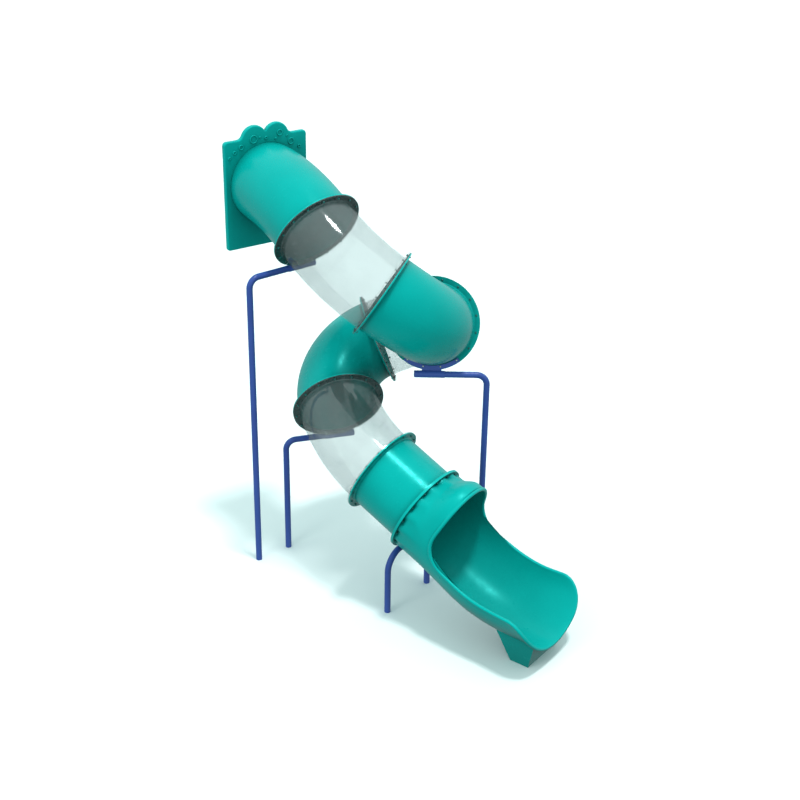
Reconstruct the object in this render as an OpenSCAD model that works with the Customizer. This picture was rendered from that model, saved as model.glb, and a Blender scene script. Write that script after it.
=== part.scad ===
// Spiral tube slide for a play tower, in millimetres with +Z up.
// The tube leaves the tower along +X through a panel, winds one turn to the left and ends in an open chute.
// The origin is on the ground, straight below the centre of the entry opening on the panel's back face.

/* [Tube] */
// Inner diameter of the tube, which the rider passes through.
tube_bore = 762; // [700:1:800]
// Wall thickness of the moulded tube sections.
tube_wall = 6; // [5:0.5:8]
// Outer diameter of the joint flanges.
flange_d = 900; // [880:1:940]
// Thickness of one joint flange; a joint has two, face to face.
flange_t = 12; // [10:1:16]

/* [Route of the tube] */
// Angle that the entry elbow turns downward.
entry_turn = 30.4; // [26:0.1:34]
// Centreline radius of the entry elbow.
entry_radius = 1724; // [1600:1:1900]
// Roll of the entry elbow's bend to the left of straight down.
entry_roll = 9; // [0:1:20]
// Angle that each of the two long clear sections turns.
sweep_turn = 32.5; // [28:0.5:36]
// Centreline radius of the long clear sections.
sweep_radius = 1500; // [1400:1:1600]
// Centreline radius of the three right-angle elbows.
elbow_radius = 575; // [540:1:620]
// Length of the straight section above the chute.
straight_len = 560; // [480:1:640]
// Roll of each bend about the tube, from the section before it, from the upper clear section down.
bend_rolls = [-105, -26, -58, -45, -33];

/* [Joint fasteners] */
// Number of bolts in each joint.
joint_bolt_count = 16; // [16]
// Diameter of the joint bolts' pitch circle.
bolt_circle_d = 840; // [832:1:852]
// Diameter of the joint bolts.
bolt_d = 10; // [8:1:12]
// Diameter of the holes that the joint bolts pass through.
bolt_hole_d = 11; // [9:0.5:13]

/* [Entry panel] */
// Half of the panel's width.
panel_half_w = 441; // [430:1:480]
// Thickness of the moulded panel.
panel_t = 50; // [40:1:60]
// Distance from the tube's axis down to the panel's lower edge.
panel_below = 614; // [560:1:660]
// Distance from the tube's axis up to the panel's shoulders.
panel_shoulder = 446; // [436:1:470]
// Distance from the tube's axis up to the top of the two humps.
panel_top = 563; // [540:1:600]

/* [Supports] */
// Outer diameter of the support pipe.
pipe_d = 60.3; // [48.3, 60.3, 76.1]
// Wall thickness of the support pipe.
pipe_wall = 3.6; // [2.9:0.1:5]
// Centreline radius of the bend at the top of each post.
post_bend = 100; // [90:1:150]
// Centreline radius of the hoop's two bends.
hoop_bend = 190; // [150:1:220]
// Half of the distance between the hoop's legs.
hoop_half_w = 317; // [300:1:360]
// Distance from the joint to the upper, middle and lower post, measured along the arm.
post_reach = [589, 529, 482];
// Length of the upper, middle and lower arm past the middle of its joint.
arm_past = [146, 165, 209];
// Length of the sleeve below each saddle that the arm slides into.
sleeve_len = 290; // [240:1:320]
// Wall thickness of that sleeve.
sleeve_wall = 4; // [3:0.5:6]

/* [Exit chute] */
// Height of the chute's floor above the ground at its front lip.
exit_floor_h = 210; // [180:1:280]
// Length of the chute along its centreline.
chute_len = 1545; // [1450:1:1650]
// Length of the chute's sloping run before its floor levels out.
chute_run = 750; // [700:1:800]
// Radius of the curve that levels the chute's floor.
chute_curve = 1080; // [1000:1:1200]
// Wall thickness of the chute.
chute_wall = 7; // [5:0.5:10]
// Radius of the rolled rim.
rim_r = 17; // [14:1:20]

/* [Hidden] */

$fn = 96;
bore_r = tube_bore / 2;
tube_r = bore_r + tube_wall;
flange_r = flange_d / 2;
mid_r = bore_r + tube_wall / 2;
bolt_r = bolt_circle_d / 2;
bolt_step = 360 / joint_bolt_count;
pipe_r = pipe_d / 2;
spigot = panel_t / 2;

teal = [0.07, 0.70, 0.66];
clear = [0.82, 0.90, 0.90, 0.35];
blue = [0.17, 0.28, 0.60];
zinc = [0.72, 0.74, 0.76];
black = [0.10, 0.10, 0.11];

// Frames along the tube: each is a point, the direction of travel and a square direction.
function unit(v) = v / norm(v);
function level_up(t) = unit([0, 0, 1] - t.z * t);
function level_left(t) = unit(cross([0, 0, 1], t));
function spin(v, t, a) = v * cos(a) + cross(t, v) * sin(a);
function bend(f, turn, radius) = [
    f[0] + radius * (sin(turn) * f[1] + (1 - cos(turn)) * f[2]),
    cos(turn) * f[1] + sin(turn) * f[2],
    cos(turn) * f[2] - sin(turn) * f[1]];
function rolled(f, a) = [f[0], f[1], spin(f[2], f[1], a)];
function lifted(f, h) = [f[0] + [0, 0, h], f[1], f[2]];

// The route from the entry down, first with the entry's axis at height zero.
start_0 = [[spigot, 0, 0], [1, 0, 0], [0, sin(entry_roll), -cos(entry_roll)]];
end_0 = bend(start_0, entry_turn, entry_radius);
start_1 = rolled([end_0[0], end_0[1], level_up(end_0[1])], bend_rolls[0]);
start_2 = rolled(bend(start_1, sweep_turn, sweep_radius), bend_rolls[1]);
start_3 = rolled(bend(start_2, 90, elbow_radius), bend_rolls[2]);
start_4 = rolled(bend(start_3, 90, elbow_radius), bend_rolls[3]);
start_5 = rolled(bend(start_4, 90, elbow_radius), bend_rolls[4]);
start_6 = bend(start_5, sweep_turn, sweep_radius);
start_7 = [start_6[0] + straight_len * start_6[1], start_6[1], start_6[2]];

// The chute's centreline: a sloping run, a curve and a level run, as distance out and height.
chute_slope = asin(-start_7[1].z);
chute_arc = chute_curve * chute_slope * PI / 180;
function run_angle(q) = q < chute_run ? chute_slope
    : max(0, chute_slope - (q - chute_run) / chute_curve * 180 / PI);
function run_out(q) = min(q, chute_run) * cos(chute_slope)
    + (q < chute_run ? 0 : chute_curve * (sin(chute_slope) - sin(run_angle(q))))
    + max(0, q - chute_run - chute_arc);
function run_drop(q) = min(q, chute_run) * sin(chute_slope)
    + (q < chute_run ? 0 : chute_curve * (cos(run_angle(q)) - cos(chute_slope)));

// The chute's outer radius grows from the joint to the lip, and the hood's crown flares upward.
chute_r0 = bore_r + 36.6;
chute_r1 = bore_r + 65.6;
chute_r2 = bore_r + 73.6;
crown_flare = 140;
crown_start = 60;
crown_end = 270;
nose_t = 24;
lip_flare = 16;
function ease(x, a, b) = let(t = min(1, max(0, (x - a) / (b - a)))) t * t * (3 - 2 * t);
function crown(v) = pow(max(0, -cos(v)), 3.5);
function chute_r(q, v) = chute_r0 + (chute_r1 - chute_r0) * ease(q, 0.06 * chute_len, 0.6 * chute_len)
    + (chute_r2 - chute_r1) * max(0, q / chute_len - 0.45) / 0.55
    + crown_flare * crown(v) * ease(q, crown_start, crown_end)
    + lip_flare * ease(abs(v), 30, 80) * ease(q, 0.7 * chute_len, 0.93 * chute_len);
// The hood's nose is thicker than the rest of the wall.
function skin_t(q, v) = chute_wall + nose_t * crown(v) * ease(q, collar_q, crown_end);

// Heights follow from the lip: the ground is below it by the exit height.
chute_drop = run_drop(chute_len) + chute_r(chute_len, 0) - chute_wall;
entry_h = exit_floor_h + chute_drop - start_7[0].z;
route = [for (f = [start_0, start_1, start_2, start_3, start_4, start_5, start_6, start_7])
    lifted(f, entry_h)];

// Stands its children at a joint: x to the left, y up in the joint's plane and z along the tube.
module at_joint(i) {
    t = route[i][1];
    a = level_left(t);
    u = level_up(t);
    p = route[i][0];
    multmatrix([[a.x, u.x, t.x, p.x], [a.y, u.y, t.y, p.y], [a.z, u.z, t.z, p.z]]) children();
}

// Sweeps a ring along the bend that starts at a joint.
module tube_bend(i, turn, radius) {
    f = route[i];
    n = f[2];
    t = f[1];
    b = cross(t, n);
    c = f[0] + radius * n;
    multmatrix([[-n.x, t.x, b.x, c.x], [-n.y, t.y, b.y, c.y], [-n.z, t.z, b.z, c.z]])
        rotate_extrude(angle = turn) translate([radius, 0]) tube_ring();
}

module tube_ring() {
    difference() {
        circle(r = tube_r);
        circle(r = bore_r);
    }
}

// One flange with its fillet, growing along +z from the joint's plane.
module flange() {
    rotate_extrude() polygon([[mid_r, 0], [flange_r, 0], [flange_r, flange_t],
        [tube_r + 12, flange_t], [tube_r + 3, flange_t + 10], [mid_r, flange_t + 12]]);
}

module bolt_holes() {
    for (k = [0:joint_bolt_count - 1]) rotate(bolt_step * (k + 0.5)) translate([0, bolt_r, 0])
        cylinder(d = bolt_hole_d, h = 6 * flange_t, center = true, $fn = 24);
}

// A bent section with a flange at each end, between joint i and the next.
module bent_section(i, turn, radius) {
    difference() {
        union() {
            tube_bend(i, turn, radius);
            at_joint(i) flange();
            at_joint(i + 1) mirror([0, 0, 1]) flange();
        }
        at_joint(i) bolt_holes();
        at_joint(i + 1) bolt_holes();
    }
}

module clear_tube_upper() color(clear) bent_section(1, sweep_turn, sweep_radius);
module elbow_upper() color(teal) bent_section(2, 90, elbow_radius);
module clear_elbow() color(clear) bent_section(3, 90, elbow_radius);
module elbow_lower() color(teal) bent_section(4, 90, elbow_radius);
module clear_tube_lower() color(clear) bent_section(5, sweep_turn, sweep_radius);

module straight_tube() color(teal) difference() {
    union() {
        at_joint(6) linear_extrude(straight_len) tube_ring();
        at_joint(6) flange();
        at_joint(7) mirror([0, 0, 1]) flange();
    }
    at_joint(6) bolt_holes();
    at_joint(7) bolt_holes();
}

// The entry elbow starts with a thin flange that is let into the panel's back face.
entry_flange_r = tube_r + 38;
entry_bolt_r = tube_r + 22;
entry_bolt_count = 8;
module at_entry() {
    translate([0, 0, entry_h]) rotate([90, 0, 90]) children();
}

// The spigot and its flange are one turned form, a little slack on both sides of the tube's wall.
spigot_slack = 0.4;
module entry_spigot() {
    rotate_extrude() polygon([[bore_r + spigot_slack, 0], [entry_flange_r, 0], [entry_flange_r, flange_t],
        [tube_r - spigot_slack, flange_t], [tube_r - spigot_slack, spigot], [bore_r + spigot_slack, spigot]]);
}
module entry_elbow() color(teal) difference() {
    union() {
        tube_bend(0, entry_turn, entry_radius);
        at_entry() entry_spigot();
        at_joint(1) mirror([0, 0, 1]) flange();
    }
    at_joint(1) bolt_holes();
    at_entry() each_entry_bolt() rotate_extrude($fn = 24)
        polygon([[0, -1], [10, -1], [4.5, 4.5], [4.5, flange_t + 2], [0, flange_t + 2]]);
}

module each_entry_bolt() {
    for (k = [0:entry_bolt_count - 1]) rotate(45 * k + 22.5) translate([entry_bolt_r, 0, 0]) children();
}
module entry_bolts() color(zinc) at_entry() each_entry_bolt() rotate_extrude($fn = 24)
    polygon([[0, 0], [8.5, 0], [4, 4.5], [4, 40], [0, 40]]);

// The panel's outline: a plain plate with two humps on top, drawn as points around its edge.
hump_y = 117;
hump_r = 135;
hump_z = panel_top - hump_r;
dip_r = 60;
corner_r = 38;
foot_corner_r = 28;
panel_round = 14;
dip_y = hump_y + sqrt(pow(hump_r + dip_r, 2) - pow(panel_shoulder + dip_r - hump_z, 2));
dip_end = atan2(hump_z - panel_shoulder - dip_r, hump_y - dip_y);
function arc(y, z, r, a0, a1, n) = [for (k = [0:n]) let(a = a0 + (a1 - a0) * k / n)
    [y + r * cos(a), z + r * sin(a)]];
half_edge = concat(
    arc(panel_half_w - foot_corner_r, foot_corner_r - panel_below, foot_corner_r, -90, 0, 6),
    arc(panel_half_w - corner_r, panel_shoulder - corner_r, corner_r, 0, 90, 8),
    arc(dip_y, panel_shoulder + dip_r, dip_r, -90, dip_end, 6),
    arc(hump_y, hump_z, hump_r, dip_end + 180, 90 + asin((hump_y - 3) / hump_r), 16));
panel_edge = concat(half_edge, [for (k = [len(half_edge) - 1:-1:0]) [-half_edge[k].x, half_edge[k].y]]);
function inset(e, d) = let(n = len(e)) [for (k = [0:n - 1])
    let(t = unit(e[(k + 1) % n] - e[(k + n - 1) % n])) e[k] + d * [-t.y, t.x]];

// A plate with rounded edges: the outline is repeated at rising heights and drawn in at both faces.
module soft_plate(e, t, r) {
    rings = [for (a = [0, 30, 60, 90]) [r * (1 - sin(a)), r * (1 - cos(a))]];
    levels = concat(rings, [for (k = [len(rings) - 1:-1:0]) [rings[k][0], t - rings[k][1]]]);
    n = len(e);
    pts = [for (l = levels) for (p = inset(e, l[0])) [p.x, p.y, l[1]]];
    sides = [for (j = [0:len(levels) - 2]) for (k = [0:n - 1]) each
        [[j * n + k, (j + 1) * n + (k + 1) % n, j * n + (k + 1) % n],
        [j * n + k, (j + 1) * n + k, (j + 1) * n + (k + 1) % n]]];
    last = (len(levels) - 1) * n;
    polyhedron(pts, concat([[for (k = [0:n - 1]) k]],
        [[for (k = [n - 1:-1:0]) last + k]], sides), convexity = 6);
}

// Raised rings like bubbles, on the panel's front face: across, up from the tube's axis, and radius.
bubbles = [[-129, 435, 43], [2, 431, 19], [104, 410, 14], [149, 461, 33], [270, 362, 35],
    [228, 418, 13], [356, 301, 20], [-262, 377, 28], [-332, 337, 21], [-386, 290, 18], [-61, 445, 12]];
bubble_up = 7;

insert_y = 390;
insert_top = 330;
insert_bottom = -540;
module entry_panel() color(teal) difference() {
    union() {
        at_entry() soft_plate(panel_edge, panel_t, panel_round);
        at_entry() for (b = bubbles) let(r = min(bubble_up, 0.45 * b.z)) translate([b.x, b.y, panel_t])
            rotate_extrude($fn = 32) translate([b.z - r, 0]) circle(r = r, $fn = 12);
    }
    at_entry() translate([0, 0, -1]) cylinder(r = tube_r + 1.5, h = panel_t + 2);
    at_entry() translate([0, 0, -1]) cylinder(r = entry_flange_r + 1, h = flange_t + 1);
    at_entry() each_entry_bolt() cylinder(d = 8, h = 42, $fn = 24);
    at_entry() for (x = [-insert_y, insert_y], y = [insert_bottom, insert_top])
        translate([x, y, -1]) cylinder(d = 10, h = 31, $fn = 24);
}

// Supports: each arm is a level pipe below a joint, in the plane of its saddle plate.
plate_t = 8;
arm_gap = 1.5;
sleeve_gap = 0.3;
sleeve_r = pipe_r + sleeve_gap + sleeve_wall;
// The hoop has no sleeve: its saddle's plate is welded to the upstream side of the pipe.
function arm_down(i) = flange_r + arm_gap + (i == 7 ? pipe_r : sleeve_r);
function arm_z(i) = i == 7 ? pipe_r - 2 - flange_t : -flange_t - plate_t / 2;
function arm_mid(i) = route[i][0] + arm_z(i) * route[i][1] - arm_down(i) * level_up(route[i][1]);
module at_arm(i) {
    a = level_left(route[i][1]);
    p = arm_mid(i);
    multmatrix([[a.y, a.x, 0, p.x], [-a.x, a.y, 0, p.y], [0, 0, 1, p.z]]) children();
}
module pipe_ring() {
    difference() {
        circle(r = pipe_r, $fn = 48);
        circle(r = pipe_r - pipe_wall, $fn = 48);
    }
}

// A post beside the tube with an arm bent over below joint i.
module arm_post(i, reach, past) {
    h = arm_mid(i).z;
    at_arm(i) {
        translate([0, post_bend - reach, 0]) rotate([-90, 0, 0])
            linear_extrude(reach - post_bend + past) pipe_ring();
        translate([0, post_bend - reach, -post_bend]) rotate([0, -90, 0])
            rotate_extrude(angle = -90) translate([post_bend, 0]) pipe_ring();
        translate([0, -reach, -h]) linear_extrude(h - post_bend) pipe_ring();
    }
}
module post_upper() color(blue) arm_post(1, post_reach[0], arm_past[0]);
module post_middle() color(blue) arm_post(3, post_reach[1], arm_past[1]);
module post_lower() color(blue) arm_post(5, post_reach[2], arm_past[2]);

module hoop_support() color(blue) {
    h = arm_mid(7).z;
    w = hoop_half_w - hoop_bend;
    at_arm(7) {
        translate([0, -w, 0]) rotate([-90, 0, 0]) linear_extrude(2 * w) pipe_ring();
        for (s = [-1, 1]) scale([1, s, 1]) {
            translate([0, -w, -hoop_bend]) rotate([0, -90, 0])
                rotate_extrude(angle = -90) translate([hoop_bend, 0]) pipe_ring();
            translate([0, -hoop_half_w, -h]) linear_extrude(h - hoop_bend) pipe_ring();
        }
    }
}

// A crescent plate on the upstream flange, with a block below it that sits on the arm's sleeve.
saddle_half = 37;
block_half_w = 94;
block_t = 30;
module saddle(i, past) {
    down = arm_down(i);
    difference() {
        at_joint(i) {
            translate([0, 0, -flange_t - plate_t]) linear_extrude(plate_t) difference() {
                intersection() {
                    circle(r = flange_r - 4);
                    polygon([[0, 0], [-1.2 * flange_r * tan(saddle_half), -1.2 * flange_r],
                        [1.2 * flange_r * tan(saddle_half), -1.2 * flange_r]]);
                }
                circle(r = bolt_r - 16);
            }
            translate([-block_half_w, -down, -flange_t - plate_t])
                cube([2 * block_half_w, down - bolt_r, plate_t]);
            translate([-block_half_w, -down, -flange_t - plate_t])
                cube([2 * block_half_w, down - flange_r - 0.5, block_t]);
            if (past > 0) translate([past - sleeve_len, -down, arm_z(i)]) rotate([0, 90, 0])
                cylinder(r = sleeve_r, h = sleeve_len, $fn = 48);
        }
        at_joint(i) bolt_holes();
        at_joint(i) translate([0, -down, arm_z(i)]) rotate([0, 90, 0])
            cylinder(r = pipe_r + (past > 0 ? sleeve_gap : 0), h = 3 * sleeve_len, center = true, $fn = 48);
    }
}
module saddle_upper() color(blue) saddle(1, arm_past[0]);
module saddle_middle() color(blue) saddle(3, arm_past[1]);
module saddle_lower() color(blue) saddle(5, arm_past[2]);
module saddle_hoop() color(blue) saddle(7, 0);

// Plugs in the open ends of the three arms.
module arm_caps() color(black) for (k = [0:2]) at_arm(2 * k + 1) translate([0, arm_past[k], 0])
    rotate([-90, 0, 0]) {
        translate([0, 0, -20]) cylinder(r = pipe_r - pipe_wall, h = 20, $fn = 48);
        cylinder(r1 = pipe_r, r2 = pipe_r - 3, h = 4, $fn = 48);
    }

// Joint fasteners: the heads sit upstream, on the saddle's plate where there is one.
washer_t = 2;
washer_r = bolt_d;
head_r = 0.85 * bolt_d;
head_h = 0.5 * bolt_d;
nut_d = 1.8 * bolt_d;
nut_h = 0.8 * bolt_d;
function bolt_reach(seat) = seat + flange_t + 2 * washer_t + nut_h + 2;
function head_seat(i, k) = flange_t + (i % 2 == 1 && abs(bolt_step * (k + 0.5) - 180) < saddle_half ? plate_t : 0);
module each_bolt(i) {
    at_joint(i) for (k = [0:joint_bolt_count - 1])
        rotate(bolt_step * (k + 0.5)) translate([0, bolt_r, 0]) {
            $seat = head_seat(i, k);
            children();
        }
}
module joint_bolts(i) color(zinc) each_bolt(i) rotate_extrude($fn = 24) let(end = bolt_reach($seat))
    polygon([for (p = [[0, -head_h], [0.45 * head_r, -0.95 * head_h], [0.8 * head_r, -0.7 * head_h],
        [head_r, -0.3 * head_h], [head_r, 0], [bolt_d / 2, 0], [bolt_d / 2, end - 1], [bolt_d / 2 - 1, end], [0, end]])
        [p.x, p.y - $seat - washer_t]]);
module joint_nuts() color(zinc) for (i = [1:7]) each_bolt(i) translate([0, 0, flange_t + washer_t]) difference() {
    cylinder(d = nut_d, h = nut_h, $fn = 6);
    translate([0, 0, -1]) cylinder(d = bolt_d, h = nut_h + 2, $fn = 24);
}
module joint_washers() color(zinc) for (i = [1:7]) each_bolt(i) {
    for (z = [-$seat - washer_t, flange_t]) translate([0, 0, z]) difference() {
        cylinder(r = washer_r, h = washer_t, $fn = 24);
        translate([0, 0, -1]) cylinder(d = bolt_d + 0.6, h = washer_t + 2, $fn = 24);
    }
}

// The chute is one shell. Lines run from the joint to its edge, which goes round the mouth of the
// hood, along both rims and round the front lip.
half_lines = 3 * joint_bolt_count;
mouth_q = 338;
rim_v = 83;
mouth_q_fillet = 240;
mouth_v_fillet = 32;
lip_q_fillet = 215;
lip_v_fillet = 43;
// How the lines share out over the mouth, the mouth's fillet, the rim, the lip's fillet and the lip.
mouth_end = 10 / 48;
rim_start = 18 / 48;
rim_end = 31 / 48;
lip_start = 41 / 48;
function edge_at(u) =
    u <= mouth_end ? [mouth_q, 180 - (180 - rim_v - mouth_v_fillet) * u / mouth_end]
    : u <= rim_start ? let(t = 90 * (u - mouth_end) / (rim_start - mouth_end))
        [mouth_q + mouth_q_fillet * (1 - cos(t)), rim_v + mouth_v_fillet * (1 - sin(t))]
    : u <= rim_end ? [mouth_q + mouth_q_fillet
        + (chute_len - lip_q_fillet - mouth_q - mouth_q_fillet) * (u - rim_start) / (rim_end - rim_start), rim_v]
    : u <= lip_start ? let(t = 90 * (u - rim_end) / (lip_start - rim_end))
        [chute_len - lip_q_fillet * (1 - sin(t)), rim_v - lip_v_fillet * (1 - cos(t))]
    : [chute_len, (rim_v - lip_v_fillet) * (1 - u) / (1 - lip_start)];
function line_side(i) = i <= half_lines ? 1 : -1;
function line_k(i) = i <= half_lines ? i : 2 * half_lines - i;
function chute_pt(q, v, r) = let(a = run_angle(q), w = -r * cos(v))
    [run_out(q) + w * sin(a), r * sin(v), w * cos(a) - run_drop(q)];
function chute_out(q, v) = let(a = run_angle(q))
    [-cos(v) * sin(a), sin(v), -cos(v) * cos(a)];
collar_q = 110;
function line_qv(i, f) = let(k = line_k(i), e = edge_at(k / half_lines), v0 = 180 * (1 - k / half_lines))
    [collar_q + (e[0] - collar_q) * f, line_side(i) * (v0 + (e[1] - v0) * f)];
function skin_pt(i, f, inward) = let(g = line_qv(i, f))
    chute_pt(g[0], g[1], chute_r(g[0], g[1]) - inward);
function rim_pts(i) = let(n = 2 * half_lines, g = line_qv(i, 1), out = chute_out(g[0], g[1]),
    t = unit(skin_pt((i + 1) % n, 1, 0) - skin_pt((i + n - 1) % n, 1, 0)),
    e = unit(cross(t, out)), c = skin_pt(i, 1, skin_t(g[0], g[1])) + (rim_r - 2) * out)
    [for (a = [-60, -20, 20, 55, 90, 125, 160]) c + rim_r * (cos(a) * out + sin(a) * e)];
// Behind the flange each bolt has a shallow pocket, and ribs stand between the pockets.
lines_per_bolt = 2 * half_lines / joint_bolt_count;
pocket_r = bolt_r - washer_r - 4;
pocket_end = flange_t + washer_t + nut_h + 5;
rib_up = 10;
function line_v0(i) = line_side(i) * 180 * (1 - line_k(i) / half_lines);
function rib(i) = let(m = line_k(i) % lines_per_bolt) m == 0 ? rib_up
    : m == 1 || m == lines_per_bolt - 1 ? 0.6 * rib_up : 0;
function collar_r(i) = rib(i) > 0 ? chute_r0 + rib(i) : pocket_r;
rows = 11;
function chute_line(i) = let(v = line_v0(i)) concat(
    [chute_pt(0, v, flange_r), chute_pt(flange_t, v, flange_r), chute_pt(flange_t, v, collar_r(i)),
    chute_pt(pocket_end, v, collar_r(i)), chute_pt(pocket_end + 22, v, chute_r(pocket_end + 22, v) + rib(i))],
    [for (j = [0:rows - 1]) skin_pt(i, j / rows, j < 2 ? -0.35 * (2 - j) * rib(i) : 0)],
    rim_pts(i),
    [for (j = [rows - 0.35:-1:0]) let(g = line_qv(i, j / rows)) skin_pt(i, j / rows, skin_t(g[0], g[1]))],
    [chute_pt(40, v, bore_r + 12), chute_pt(0, v, bore_r)]);
module chute_shell() {
    n = 2 * half_lines;
    lines = [for (i = [0:n - 1]) chute_line(i)];
    m = len(lines[0]);
    pts = [for (l = lines) each l];
    faces = [for (i = [0:n - 1]) for (j = [0:m - 1]) let(a = i * m + j, b = i * m + (j + 1) % m,
        c = ((i + 1) % n) * m + j, d = ((i + 1) % n) * m + (j + 1) % m) each [[a, b, d], [a, d, c]]];
    polyhedron(pts, faces, convexity = 8);
}
module at_chute() {
    t = route[7][1];
    a = level_left(t);
    p = route[7][0];
    multmatrix([[a.y, a.x, 0, p.x], [-a.x, a.y, 0, p.y], [0, 0, 1, p.z]]) children();
}
module exit_chute() color(teal) difference() {
    at_chute() chute_shell();
    at_joint(7) bolt_holes();
}

// The foot is a hollow tapered pedestal whose top follows the underside of the chute.
// Each pair is its back edge, front edge and half width on the ground and at its full height.
lip_out = run_out(chute_len);
foot_back = [lip_out - 309, lip_out - 477];
foot_front = [lip_out - 117, lip_out - 52];
foot_half_w = [228, 245];
foot_top = 300;
foot_core = 150;
foot_wall = 10;
function foot_at(z, w) = let(t = z / foot_top)
    let(half = foot_half_w[0] + (foot_half_w[1] - foot_half_w[0]) * t - w)
    [[foot_back[0] + (foot_back[1] - foot_back[0]) * t + w, half],
    [foot_front[0] + (foot_front[1] - foot_front[0]) * t - w, half]];
module foot_block(h, w, low) {
    hull() for (z = [0, h]) translate([0, 0, z == 0 ? low : h - 0.01])
        linear_extrude(0.01) polygon([for (c = [[0, -1], [1, -1], [1, 1], [0, 1]])
            let(p = foot_at(z, w)[c.x]) [p.x, c.y * p.y]]);
}
// The part of the chute's underside above the foot, carried up as a block.
under_half = round(half_lines / 6);
under_lines = [half_lines - under_half:half_lines + under_half];
under_rows = [5:rows];
function under_pt(i, j) = j < rows ? skin_pt(i, j / rows, 0) : rim_pts(i)[0];
module underside() {
    flat = [for (i = under_lines) for (j = under_rows) under_pt(i, j)];
    w = len([for (j = under_rows) j]);
    l = len([for (i = under_lines) i]);
    n = len(flat);
    pts = concat(flat, [for (p = flat) p + [0, 0, foot_top]]);
    cells = [for (i = [0:l - 2]) for (j = [0:w - 2]) let(a = i * w + j, b = a + w, c = b + 1, d = a + 1) each
        [[a, b, c], [a, c, d], [n + a, n + c, n + b], [n + a, n + d, n + c]]];
    rim = concat([for (j = [0:w - 1]) j], [for (i = [1:l - 1]) i * w + w - 1],
        [for (j = [w - 2:-1:0]) (l - 1) * w + j], [for (i = [l - 2:-1:1]) i * w]);
    m = len(rim);
    walls = [for (k = [0:m - 1]) let(a = rim[k], b = rim[(k + 1) % m]) each
        [[a, b, n + b], [a, n + b, n + a]]];
    polyhedron(pts, concat(cells, walls), convexity = 6);
}
module exit_foot() color(teal) at_chute() difference() {
    translate([0, 0, -route[7][0].z]) foot_block(foot_top, 0, 0);
    translate([0, 0, -route[7][0].z]) foot_block(foot_core, foot_wall, -1);
    underside();
}

entry_panel();
entry_elbow();
clear_tube_upper();
elbow_upper();
clear_elbow();
elbow_lower();
clear_tube_lower();
straight_tube();
exit_chute();
exit_foot();
post_upper();
post_middle();
post_lower();
hoop_support();
saddle_upper();
saddle_middle();
saddle_lower();
saddle_hoop();
arm_caps();
joint_bolts(1);  // joint_bolts_1
joint_bolts(2);  // joint_bolts_2
joint_bolts(3);  // joint_bolts_3
joint_bolts(4);  // joint_bolts_4
joint_bolts(5);  // joint_bolts_5
joint_bolts(6);  // joint_bolts_6
joint_bolts(7);  // joint_bolts_7
joint_nuts();
joint_washers();
entry_bolts();
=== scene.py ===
import math

import bpy
from mathutils import Matrix, Vector

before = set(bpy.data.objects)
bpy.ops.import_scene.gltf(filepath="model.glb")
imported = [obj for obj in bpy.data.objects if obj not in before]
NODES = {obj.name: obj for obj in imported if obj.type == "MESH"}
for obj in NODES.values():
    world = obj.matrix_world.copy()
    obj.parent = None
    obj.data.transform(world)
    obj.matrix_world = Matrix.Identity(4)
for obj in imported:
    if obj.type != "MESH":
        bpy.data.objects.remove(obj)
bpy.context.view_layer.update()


# ---------------------------------------------------------------- camera
CAM_AT = (11.455, -6.2989, 7.8905)
CAM_RIGHT = (0.562126, 0.826934, 0.013958)
CAM_UP = (-0.377703, 0.241664, 0.893834)
CAM_FORWARD = (-0.735768, 0.507719, -0.448180)
CAM_LENS = 63.908
CAM_SENSOR = 36
CAM_CLIP = (0.1, 500)

cam_data = bpy.data.cameras.new("camera")
cam_data.sensor_width = CAM_SENSOR
cam_data.lens = CAM_LENS
cam_data.clip_start, cam_data.clip_end = CAM_CLIP
cam = bpy.data.objects.new("camera", cam_data)
bpy.context.scene.collection.objects.link(cam)
cam.matrix_world = Matrix(
    [(r, u, -f, p) for r, u, f, p in zip(CAM_RIGHT, CAM_UP, CAM_FORWARD, CAM_AT)]
    + [(0, 0, 0, 1)]
)
bpy.context.scene.camera = cam

# ---------------------------------------------------------------- colours
TEAL = (0.0016, 0.392, 0.357)
TEAL_DEEP = (0.0011, 0.364, 0.332)
TEAL_WORN = (0.02, 0.70, 0.63)
TEAL_SHEEN = (0.10, 1.0, 0.95)
CAP = (0.0010, 0.215, 0.195)
CAP_DEEP = (0.0008, 0.185, 0.168)
BLUE = (0.030, 0.078, 0.330)
BLUE_DEEP = (0.024, 0.064, 0.290)
VEIL = (0.42, 0.46, 0.46)
VEIL_PALE = (0.47, 0.51, 0.51)
ZINC = (0.44, 0.46, 0.48)
ZINC_PALE = (0.66, 0.68, 0.70)
BLACK = (0.018, 0.018, 0.02)
BLACK_PALE = (0.035, 0.035, 0.038)
FLOOR_TONE = (0.81, 0.915, 0.91)
FLOOR_PALE = (0.83, 0.93, 0.925)
SKY = (0.84, 1.0, 1.0)


def paler(colour, gain, lift):
    return tuple(min(1, c * gain + lift) for c in colour)


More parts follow.
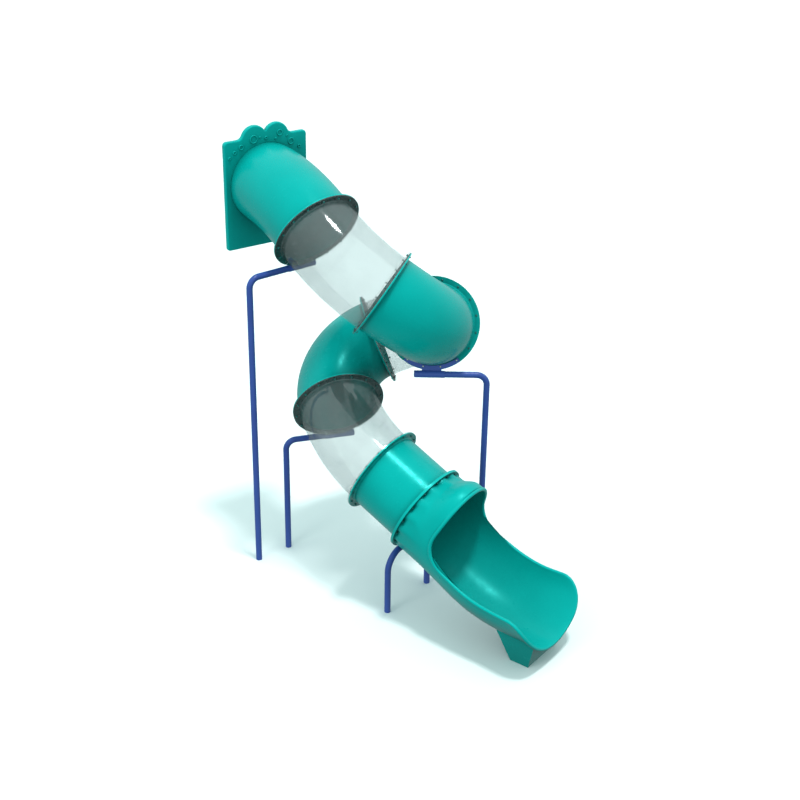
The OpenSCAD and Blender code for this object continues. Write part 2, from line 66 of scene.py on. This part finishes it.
# ---------------------------------------------------------------- materials
class Shader:
    """A new node material with its Principled shader and helpers for the nodes that feed it."""

    def __init__(self, name):
        self.material = bpy.data.materials.new(name)
        self.material.use_nodes = True
        self.tree = self.material.node_tree
        self.main = self.tree.nodes["Principled BSDF"]
        self.coords = self.tree.nodes.new("ShaderNodeTexCoord").outputs["Object"]

    def node(self, kind, **sockets):
        n = self.tree.nodes.new(kind)
        for name, value in sockets.items():
            self.feed(n.inputs[name.replace("_", " ")], value)
        return n

    def feed(self, socket, value):
        """Links a socket, sets a number, or sets a colour given as red, green and blue."""
        if isinstance(value, bpy.types.NodeSocket):
            self.tree.links.new(value, socket)
        elif isinstance(value, tuple):
            socket.default_value = (*value, 1)
        else:
            socket.default_value = value

    def noise(self, scale, detail=3.0, rough=0.5):
        n = self.node(
            "ShaderNodeTexNoise", Vector=self.coords, Scale=scale, Detail=detail, Roughness=rough
        )
        return n.outputs[0]

    def ramp(self, value, low, high, out_low=0.0, out_high=1.0):
        ends = {"From_Min": low, "From_Max": high, "To_Min": out_low, "To_Max": out_high}
        return self.node("ShaderNodeMapRange", Value=value, **ends).outputs[0]

    def mix(self, factor, a, b, kind="MIX"):
        n = self.tree.nodes.new("ShaderNodeMix")
        n.data_type = "RGBA"
        n.blend_type = kind
        for socket, value in zip((0, 6, 7), (factor, a, b)):
            self.feed(n.inputs[socket], value)
        return n.outputs[2]

    def math(self, kind, a, b):
        n = self.tree.nodes.new("ShaderNodeMath")
        n.operation = kind
        self.feed(n.inputs[0], a)
        self.feed(n.inputs[1], b)
        return n.outputs[0]

    def bump(self, height, distance, strength):
        n = self.node("ShaderNodeBump", Height=height, Distance=distance, Strength=strength)
        self.feed(self.main.inputs["Normal"], n.outputs[0])

    def set(self, **sockets):
        for name, value in sockets.items():
            self.feed(self.main.inputs[name.replace("_", " ")], value)


def worn_edges(s, colour, worn, share):
    """Mixes a share of the worn colour in where the surface stands proud, as on edges."""
    proud = s.tree.nodes.new("ShaderNodeNewGeometry").outputs["Pointiness"]
    return s.mix(s.math("MULTIPLY", s.ramp(proud, 0.52, 0.60), share), colour, worn)


def paint_shade_in_hollows(s, colour):
    """Paints shade into the colour where the surface is shut in, as in the tubes and behind the
    flanges: ambient occlusion darkens the base colour itself.
    """
    painted_shade_probe = s.node("ShaderNodeAmbientOcclusion", Distance=0.8)
    painted_shade_probe.samples = 8
    return s.mix(1.0, colour, s.ramp(painted_shade_probe.outputs["AO"], 0.15, 0.88, 0.12, 1.0), "MULTIPLY")


def moulded(name, rough=0.22, grain=260.0):
    """Rotomoulded plastic: faint flow clouds and specks, worn edges, painted shade in the hollows and
    an orange-peel skin.
    """
    s = Shader(name)
    clouds = s.ramp(s.noise(2.2, 4, 0.55), 0.35, 0.65)
    colour = s.mix(clouds, TEAL_DEEP, TEAL)
    speck = s.ramp(s.noise(420, 2, 0.6), 0.62, 0.78)
    colour = s.mix(s.math("MULTIPLY", speck, 0.06), colour, paler(TEAL, 1.25, 0.004))
    colour = worn_edges(s, colour, TEAL_WORN, 0.16)
    s.set(
        # painted shade: ambient occlusion darkens the base colour in the hollows
        Base_Color=paint_shade_in_hollows(s, colour),
        Specular_IOR_Level=0.34,
        Specular_Tint=TEAL_SHEEN,
        Roughness=s.ramp(s.noise(14, 5, 0.65), 0.3, 0.7, rough - 0.05, rough + 0.09),
    )
    ripples = s.math("MULTIPLY", s.noise(38, 2), 1.6)
    s.bump(s.math("ADD", s.noise(grain, 2), ripples), 0.0006, 0.35)
    return s.material


def clear_sheet():
    """Clear polycarbonate: a pale grey veil, a little denser where seen edge on, and polished."""
    s = Shader("clear_sheet")
    rim = s.node("ShaderNodeFresnel", IOR=1.5).outputs[0]
    veil = s.ramp(s.noise(3.0, 5, 0.6), 0.35, 0.7, 0.150, 0.175)
    s.set(
        Base_Color=s.mix(s.ramp(s.noise(2.0), 0.3, 0.7), VEIL, VEIL_PALE),
        Metallic=0.5,
        Roughness=s.ramp(s.noise(9.0, 4), 0.3, 0.7, 0.05, 0.08),
        Alpha=s.math("ADD", s.math("MULTIPLY", rim, 0.07), veil),
    )
    return s.material


def coated(name, base, deep, paint_hollow_shade=False):
    """Powder coat: fine orange peel, a tone that drifts slightly, and paler edges; if asked, painted
    shade darkens its hollows.
    """
    s = Shader(name)
    colour = s.mix(s.ramp(s.noise(3.5, 4), 0.35, 0.65), deep, base)
    colour = worn_edges(s, colour, paler(base, 1.8, 0.04), 0.25)
    s.set(
        # painted shade in the hollows when it is asked for
        Base_Color=paint_shade_in_hollows(s, colour) if paint_hollow_shade else colour,
        Specular_IOR_Level=0.35,
        Coat_Weight=0.10,
        Coat_Roughness=0.25,
        Roughness=s.ramp(s.noise(60, 4), 0.3, 0.7, 0.31, 0.44),
    )
    s.bump(s.noise(900, 2), 0.0003, 0.25)
    return s.material


def plated(name):
    """Zinc-plated steel, still without its colour: a mottled grey with small bright flakes."""
    s = Shader(name)
    flakes = s.node("ShaderNodeTexVoronoi", Vector=s.coords, Scale=260.0).outputs["Color"]
    tone = s.mix(0.25, s.mix(s.noise(70), ZINC, ZINC_PALE), flakes, "SOFT_LIGHT")
    s.set(Roughness=s.ramp(s.noise(120), 0.3, 0.7, 0.28, 0.46))
    s.bump(s.noise(700, 2), 0.0002, 0.2)
    return s, tone


def zinc_plate():
    s, tone = plated("zinc_plate")
    s.set(Base_Color=tone, Metallic=1.0)
    return s.material


def saddle_bolts(joint):
    """Plain zinc on the joint's lowest bolts, which hold a saddle, and teal caps above them with
    painted shade in their hollows.
    """
    s, tone = plated("bolts_%s" % joint)
    lowest = min(corner[2] for corner in NODES["joint_bolts_%s" % joint].bound_box)
    height = s.node("ShaderNodeSeparateXYZ", Vector=s.coords).outputs["Z"]
    low = s.math("LESS_THAN", height, lowest + SADDLE_RISE)
    # painted shade: ambient occlusion darkens the caps' colour in the hollows
    caps = paint_shade_in_hollows(s, s.mix(s.noise(30), CAP_DEEP, CAP))
    s.set(Base_Color=s.mix(low, caps, tone), Metallic=low)
    return s.material


def black_moulded():
    """Black polyethylene with a fine matt grain."""
    s = Shader("black_plug")
    s.set(
        Base_Color=s.mix(s.noise(30), BLACK, BLACK_PALE),
        Roughness=s.ramp(s.noise(200), 0.3, 0.7, 0.45, 0.6),
    )
    s.bump(s.noise(800, 2), 0.0003, 0.3)
    return s.material


SADDLE_RISE = 0.12
teal = moulded("teal_moulded")
blue = coated("blue_coat", BLUE, BLUE_DEEP)

# A key that ends in _ stands for all nodes whose names start with it.
FINISH = {
    "entry_panel": moulded("teal_panel", rough=0.40, grain=190.0),
    "entry_elbow": teal,
    "elbow_": teal,
    "straight_tube": teal,
    "exit_chute": moulded("teal_chute", rough=0.31),
    "exit_foot": teal,
    "clear_": clear_sheet(),
    "post_": blue,
    "hoop_support": blue,
    "saddle_": blue,
    "arm_caps": black_moulded(),
    # the joint coat gets painted shade in its hollows
    "joint_": coated("teal_coat", CAP, CAP_DEEP, paint_hollow_shade=True),
    "entry_bolts": zinc_plate(),
    **{"joint_bolts_%s" % joint: saddle_bolts(joint) for joint in (1, 3, 5, 7)},
}


def finish_of(name):
    if name in FINISH:
        return FINISH[name]
    return next(m for key, m in FINISH.items() if key.endswith("_") and name.startswith(key))


for name, node in NODES.items():
    for place in node.material_slots:
        place.material = finish_of(name)


# ---------------------------------------------------------------- smooth shading of faceted nodes
def smoothing(name, angle):
    """Joins the facets' split corners, then shades every edge flatter than the angle smoothly."""
    group = bpy.data.node_groups.new(name, "GeometryNodeTree")
    for way in ("INPUT", "OUTPUT"):
        group.interface.new_socket("Geometry", in_out=way, socket_type="NodeSocketGeometry")
    new, link = group.nodes.new, group.links.new
    weld = new("GeometryNodeMergeByDistance")
    weld.inputs["Distance"].default_value = 0.00003
    drop = new("GeometryNodeRemoveAttribute")
    drop.inputs["Name"].default_value = "custom_normal"
    faces = new("GeometryNodeSetShadeSmooth")
    faces.domain = "FACE"
    faces.inputs["Shade Smooth"].default_value = True
    flat = new("FunctionNodeCompare")
    flat.operation = "LESS_THAN"
    flat.inputs[1].default_value = math.radians(angle)
    link(new("GeometryNodeInputMeshEdgeAngle").outputs["Unsigned Angle"], flat.inputs[0])
    edges = new("GeometryNodeSetShadeSmooth")
    edges.domain = "EDGE"
    link(flat.outputs[0], edges.inputs["Shade Smooth"])
    last = new("NodeGroupInput").outputs[0]
    for n in (weld, drop, faces, edges):
        link(last, n.inputs["Geometry"])
        last = n.outputs["Geometry"]
    link(last, new("NodeGroupOutput").inputs[0])
    return group


SMOOTH = {"exit_chute": 44, "exit_foot": 25, "entry_panel": 40}
for name, angle in SMOOTH.items():
    join = NODES[name].modifiers.new("smooth", "NODES")
    join.node_group = smoothing("smooth_" + name, angle)
    even = NODES[name].modifiers.new("even", "WEIGHTED_NORMAL")
    even.keep_sharp = True
    even.weight = 60

# ---------------------------------------------------------------- floor
FLOOR_HALF = 120.0
FLOOR_LEVEL = -0.001

floor_mesh = bpy.data.meshes.new("floor")
floor_mesh.from_pydata(
    [(FLOOR_HALF * x, FLOOR_HALF * y, FLOOR_LEVEL) for x, y in ((-1, -1), (1, -1), (1, 1), (-1, 1))],
    [],
    [(0, 1, 2, 3)],
)
floor = bpy.data.objects.new("floor", floor_mesh)
bpy.context.scene.collection.objects.link(floor)
matt = Shader("floor_white")
matt.set(
    Base_Color=matt.mix(matt.noise(0.7), FLOOR_TONE, FLOOR_PALE),
    Roughness=0.9,
    Specular_IOR_Level=0.0,
)
floor_mesh.materials.append(matt.material)
# The sky's lower half lights the part from below, in place of the floor.
floor.visible_diffuse = False
floor.visible_glossy = False

# ---------------------------------------------------------------- sky
world = bpy.data.worlds.new("studio")
bpy.context.scene.world = world
world.use_nodes = True
sky = world.node_tree
way = sky.nodes.new("ShaderNodeTexCoord").outputs["Generated"]
height = sky.nodes.new("ShaderNodeSeparateXYZ")
fade = sky.nodes.new("ShaderNodeMapRange")
ends = {"From Min": -0.45, "From Max": 0.75, "To Min": 0.40, "To Max": 1.04}
for socket, value in ends.items():
    fade.inputs[socket].default_value = value
sky.links.new(way, height.inputs[0])
sky.links.new(height.outputs["Z"], fade.inputs["Value"])
sky.links.new(fade.outputs[0], sky.nodes["Background"].inputs["Strength"])
sky.nodes["Background"].inputs["Color"].default_value = (*SKY, 1)


# ---------------------------------------------------------------- lights
def lamp(name, kind, at, to, energy, **extra):
    data = bpy.data.lights.new(name, kind)
    data.energy = energy
    for key, value in extra.items():
        setattr(data, key, value)
    o = bpy.data.objects.new(name, data)
    bpy.context.scene.collection.objects.link(o)
    o.location = at
    o.rotation_mode = "QUATERNION"
    o.rotation_quaternion = (Vector(to) - Vector(at)).to_track_quat("-Z", "Y")
    return o


AIM = (1.5, 0.4, 1.8)
lamp("key_sun", "SUN", (3.1, 0.9, 12.0), AIM, 1.7, angle=math.radians(7))
left = lamp("left_soft", "AREA", (4.0, -10.0, 4.5), AIM, 260, shape="RECTANGLE", size=4.0, size_y=4.0)
left.visible_glossy = False

view = bpy.context.scene.view_settings
view.view_transform = "Standard"
view.look = "None"
view.exposure = 0.0
view.gamma = 1.0
